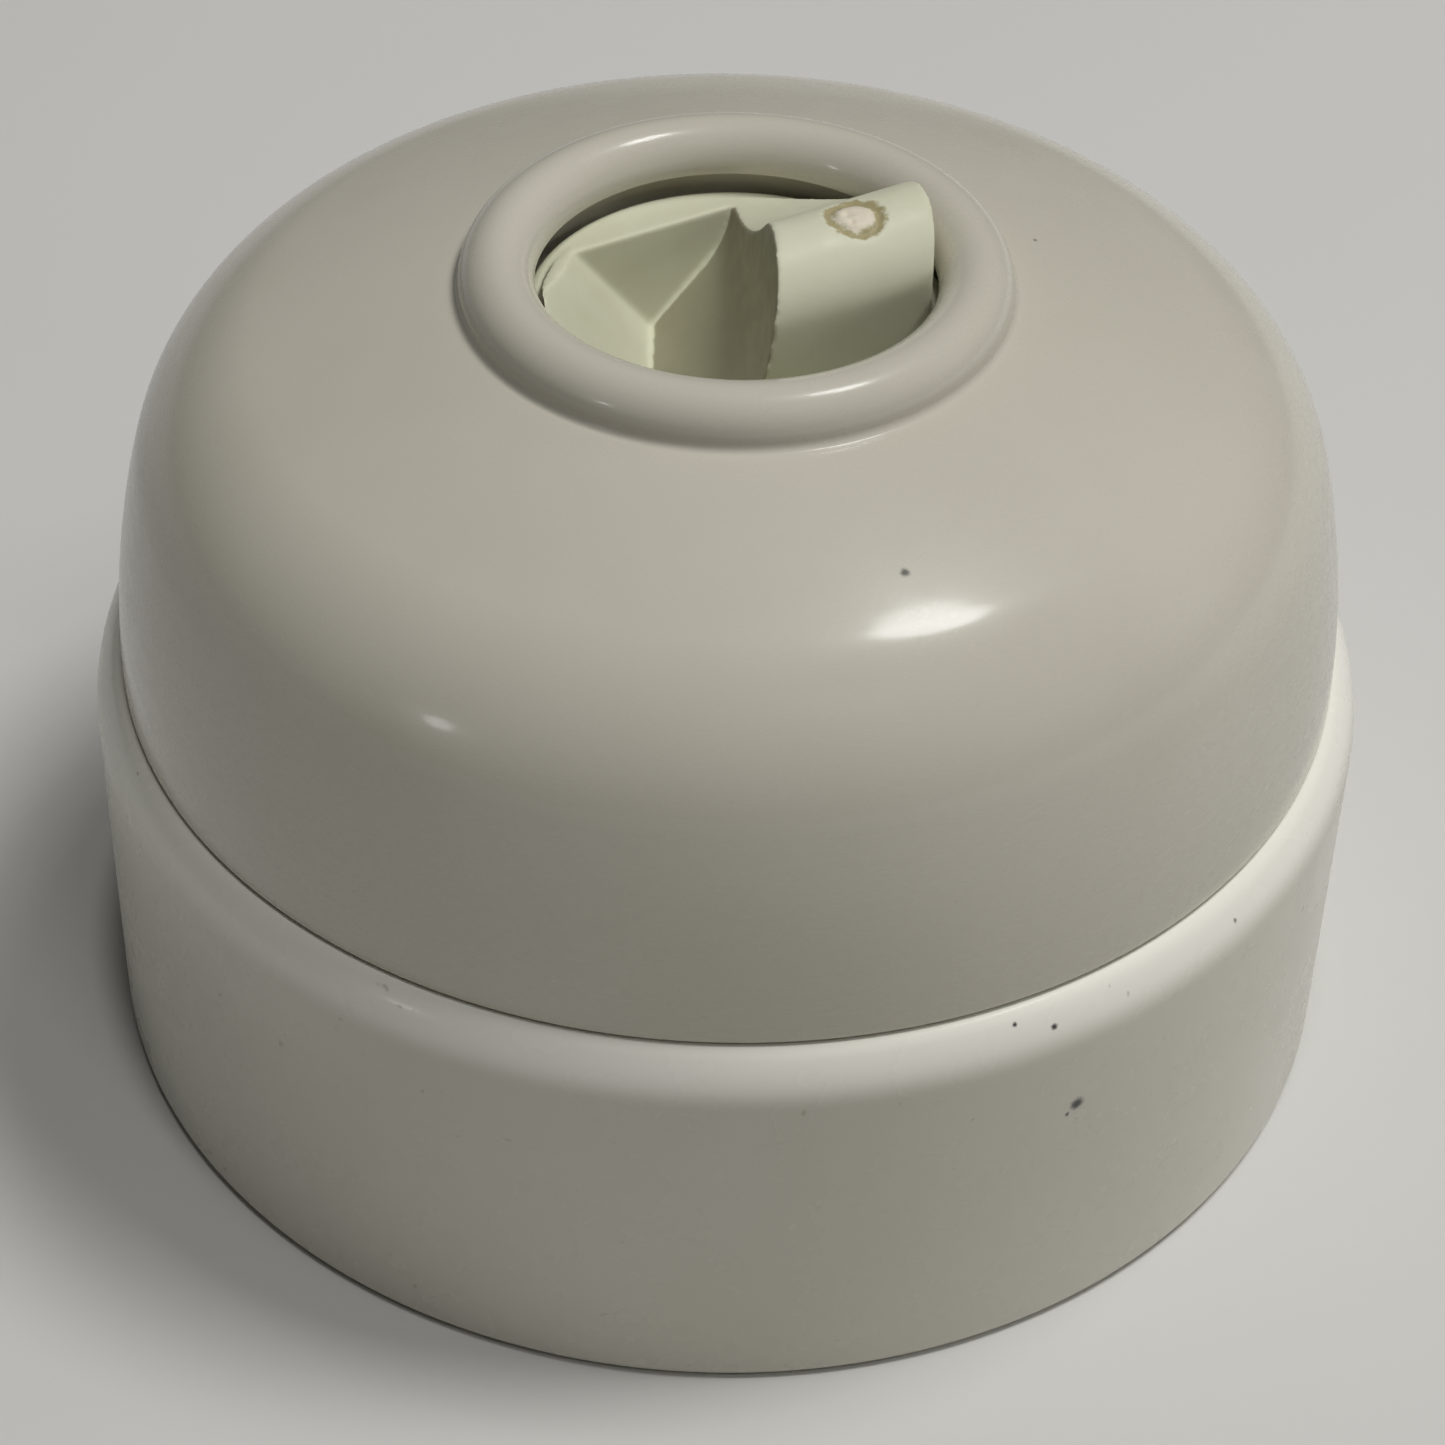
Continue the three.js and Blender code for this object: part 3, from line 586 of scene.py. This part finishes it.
def spot(bearing, radius, height, size):
    """A mark on a turned surface: its bearing in degrees, its place and size in millimetres."""
    turn = math.radians(bearing)
    return Vector((radius * math.cos(turn), radius * math.sin(turn), height)) * MM, size * MM


# Dark spots seen in the photograph, cast back onto the surfaces through the fitted camera.
GLAZE_SPOTS = (
    spot(-58.3, 32.5, 15, 0.42),
    spot(-59.2, 32.5, 14.5, 0.2),
    spot(-64.5, 31.7, 21.1, 0.2),
    spot(-61, 32.1, 20.5, 0.24),
    spot(-40.1, 32.1, 20.5, 0.2),
    spot(204.4, 31.6, 21.3, 0.2),
)
COVER_SPOTS = (
    spot(-68.3, 21.1, 40.3, 0.3),
    spot(19.4, 15.5, 41.7, 0.2),
)
SHOULDER_PAINTED_LIGHT = (0.0188, 0.0206)  # metres up, over which the shoulder's painted light comes in
SCOOP_PAINTED_SHADE = (0.42, 0.66)  # how squarely a face is turned the scoop's way as its painted shade comes in


def porcelain():
    """White glaze with painted light on the shoulder, and pin holes and a few dark spots."""
    look = Look("porcelain", IOR=1.5, Specular_IOR_Level=0.38, Coat_Weight=0.15, Coat_Roughness=0.08)
    cloud = look.noise(0.02, 3, 0.55)
    glaze = look.mix(look.spread(cloud, 0.35, 0.7), colour(214, 211, 197), colour(210, 207, 192))
    # Painted light: the glaze is made lighter high up on the shoulder, standing in for the light that falls
    # there.
    shoulder = look.spread(look.height(), *SHOULDER_PAINTED_LIGHT)
    glaze = look.mix(shoulder, glaze, colour(238, 236, 225))
    pin_holes = look.spread(look.noise(0.0009, 1, 0.4), 0.76, 0.82)
    pitted = look.mix(pin_holes, glaze, colour(192, 186, 168))
    look.paint("Base Color", look.mix(look.specks(GLAZE_SPOTS), pitted, colour(70, 70, 68)))
    look.paint("Roughness", look.spread(look.noise(0.004, 3, 0.5), 0.3, 0.7, 0.24, 0.3))
    ripple = look.bump(look.noise(0.007, 2, 0.4), 0.00002)
    look.paint("Normal", look.bump(look.noise(0.0011, 3, 0.55), 0.000003, onto=ripple))
    return look.material


def cover_plastic():
    """Warm white plastic with an even gloss, faint scuffs and two dark spots."""
    look = Look("cover_plastic", IOR=1.5, Specular_IOR_Level=0.4, Coat_Weight=0.5, Coat_Roughness=0.1)
    cloud = look.noise(0.016, 3, 0.5)
    body = look.mix(look.spread(cloud, 0.35, 0.7), colour(201, 196, 182), colour(197, 192, 177))
    look.paint("Base Color", look.mix(look.specks(COVER_SPOTS), body, colour(96, 92, 84)))
    scuffs = look.noise(0.0025, 4, 0.6, look.stretched(1, 1, 3))
    look.paint("Roughness", look.spread(scuffs, 0.35, 0.7, 0.25, 0.31))
    swell = look.bump(look.noise(0.009, 1, 0.4), 0.00002)
    look.paint("Normal", look.bump(look.noise(0.0006, 2, 0.5), 0.000002, onto=swell))
    return look.material


def knob_plastic():
    """Pale green-ivory plastic, with painted shade on faces turned the scoop's way, and a brown ring at the
    gate.
    """
    look = Look("knob_plastic", IOR=1.53, Subsurface_Weight=0.04, Subsurface_Scale=0.001)
    cloud = look.noise(0.006, 3, 0.55)
    body = look.mix(look.spread(cloud, 0.3, 0.7), colour(218, 218, 194), colour(210, 209, 183))
    # Painted shade: faces turned the scoop's way are darkened to stand in for the shade that falls on the
    # bar's scooped end.
    scoop_painted_shade = look.spread(look.facing(scoop_heading()), *SCOOP_PAINTED_SHADE)
    body = look.mix(scoop_painted_shade, body, colour(158, 154, 131))
    from_gate = look.distance(gate_centre() * MM)
    ragged = look.math("MULTIPLY", look.math("SUBTRACT", look.noise(0.0005, 2, 0.6), 0.5), 0.0009)
    reach = look.math("ADD", from_gate, ragged)
    ring = look.math("MULTIPLY", look.spread(reach, 0.0008, 0.00115), look.spread(reach, 0.0016, 0.00135))
    stub = look.spread(reach, 0.0011, 0.0008)
    ringed = look.mix(ring, body, colour(168, 158, 120))
    look.paint("Base Color", look.mix(stub, ringed, colour(226, 216, 196)))
    look.paint("Roughness", look.spread(look.noise(0.0012, 4, 0.6), 0.3, 0.7, 0.34, 0.5))
    look.paint("Normal", look.bump(look.noise(0.00045, 3, 0.5), 0.000008))
    return look.material


def metal(name, bright, dull, roughness, stretch=(1, 1, 1)):
    """Worn metal: patches of tarnish, fine tool marks and uneven gloss."""
    look = Look(name, Metallic=1.0)
    tarnish = look.spread(look.noise(0.003, 4, 0.6), 0.4, 0.68)
    look.paint("Base Color", look.mix(tarnish, bright, dull))
    marks = look.noise(0.0004, 3, 0.6, look.stretched(*stretch))
    look.paint("Roughness", look.spread(marks, 0.3, 0.75, roughness - 0.08, roughness + 0.12))
    look.paint("Normal", look.bump(marks, 0.00001))
    return look.material


def phenolic():
    """Dark brown moulding compound with a faint swirl."""
    look = Look("phenolic", IOR=1.6)
    swirl = look.noise(0.004, 5, 0.65, look.stretched(1, 1, 2.5))
    look.paint("Base Color", look.mix(look.spread(swirl, 0.4, 0.62), colour(52, 33, 25), colour(30, 20, 17)))
    look.paint("Roughness", look.spread(look.noise(0.0015, 3, 0.6), 0.3, 0.7, 0.35, 0.5))
    look.paint("Normal", look.bump(look.noise(0.0003, 2, 0.5), 0.000006))
    return look.material


MATERIALS = {
    "porcelain": porcelain(),
    "cover_plastic": cover_plastic(),
    "knob_plastic": knob_plastic(),
    "steel": metal("steel", colour(176, 178, 180), colour(140, 142, 142), 0.36, stretch=(1, 6, 1)),
    "spring_steel": metal("spring_steel", colour(104, 108, 118), colour(78, 76, 80), 0.3),
    "brass": metal("brass", colour(205, 170, 98), colour(160, 122, 66), 0.32, stretch=(1, 1, 8)),
    "bronze": metal("bronze", colour(196, 136, 92), colour(150, 96, 66), 0.34, stretch=(5, 1, 1)),
    "phenolic": phenolic(),
}


# ---------------------------------------------------------------- the object
def add_piece(piece, node, body, slot):
    """A smooth mesh that stands for a CAD node."""
    smooth_faces(piece)
    piece.data.materials.clear()
    piece.data.materials.append(MATERIALS[slot])
    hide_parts(node)
    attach(piece, body)


def finish_cad_node(node, slot):
    """Gives a CAD solid that stays its material, and breaks its sharp edges."""
    node.data.materials.clear()
    node.data.materials.append(MATERIALS[slot])
    edges = node.modifiers.new("broken_edges", "BEVEL")
    edges.width = EDGE_BREAK * MM
    edges.segments = 2
    edges.limit_method = "ANGLE"
    edges.angle_limit = SHARP_OVER


SLOTS = {part["node"]: part["material_slot"] for part in frame["record"]["subparts"]}

add_piece(build_base(), "base", "base_assembly", SLOTS["base"])
add_piece(build_cover(), "cover", "cover", SLOTS["cover"])
add_piece(build_knob(), "knob", "turning", SLOTS["knob"])
for name, node in sorted(frame["nodes"].items()):
    if name not in ("base", "cover", "knob"):
        finish_cad_node(node, SLOTS[name])


# ---------------------------------------------------------------- studio
def build_floor():
    """A pale grey floor under the wall face."""
    mesh = bmesh.new()
    bmesh.ops.create_grid(mesh, x_segments=8, y_segments=8, size=3)
    floor = object_from("floor", mesh)
    look = Look("floor", Roughness=0.8)
    cloud = look.spread(look.noise(0.3, 2), 0.3, 0.7)
    look.paint("Base Color", look.mix(cloud, colour(216, 215, 211), colour(212, 211, 207)))
    floor.data.materials.append(look.material)


def add_light(name, azimuth, elevation, size, power, reflected=False):
    """A round lamp, its direction in degrees round from +X and up, its size in metres and power in watts.

    Only a lamp marked as reflected shows in the glaze and the gloss.
    """
    data = bpy.data.lights.new(name, "AREA")
    data.shape = "DISK"
    data.size = size
    data.energy = power
    lamp = add_object(name, data)
    lamp.visible_glossy = reflected
    turn, rise = math.radians(azimuth), math.radians(elevation)
    direction = Vector((math.cos(turn) * math.cos(rise), math.sin(turn) * math.cos(rise), math.sin(rise)))
    lamp.location = direction * LAMP_DISTANCE + Vector((0, 0, LAMP_AIM_Z))
    lamp.rotation_mode = "QUATERNION"
    lamp.rotation_quaternion = direction.to_track_quat("Z", "Y")


def add_world(strength):
    """A weak, even white light from all round."""
    world = bpy.data.worlds.new("studio")
    world.use_nodes = True
    background = world.node_tree.nodes["Background"]
    background.inputs["Color"].default_value = (1, 1, 1, 1)
    background.inputs["Strength"].default_value = strength
    bpy.context.scene.world = world


def add_camera():
    """The photograph's viewpoint: from above the near side, turned very slightly about its own axis."""
    roll = CAMERA_ROLL
    target = Vector(CAMERA_TARGET) * MM
    back = Vector((0, -math.cos(CAMERA_ELEVATION), math.sin(CAMERA_ELEVATION)))
    right = Vector((1, 0, 0))
    up = back.cross(right)
    data = bpy.data.cameras.new("camera")
    data.sensor_width = CAMERA_SENSOR
    data.lens = CAMERA_LENS
    data.clip_start = 0.01
    camera = add_object("camera", data)
    turned_right = right * math.cos(roll) - up * math.sin(roll)
    turned_up = right * math.sin(roll) + up * math.cos(roll)
    turn = Matrix((turned_right, turned_up, back)).transposed().to_4x4()
    camera.matrix_world = Matrix.Translation(target + back * CAMERA_DISTANCE * MM) @ turn
    bpy.context.scene.camera = camera


build_floor()
add_world(0.02)
add_light("overhead", 285, 83, 0.12, 1.35)
add_light("right_high", 5, 67, 0.25, 3.3)
add_light("right_front", -60, 58, 0.25, 0.7)
add_light("right_low", 5, 20, 0.25, 0.8)
add_light("front_low", -30, 22, 0.25, 0.2)
add_light("key", 33, 70, 0.17, 1.0, reflected=True)
add_light("left_glint", 219, 19, 0.08, 0.12, reflected=True)
add_camera()
bpy.context.scene.view_settings.view_transform = "Standard"
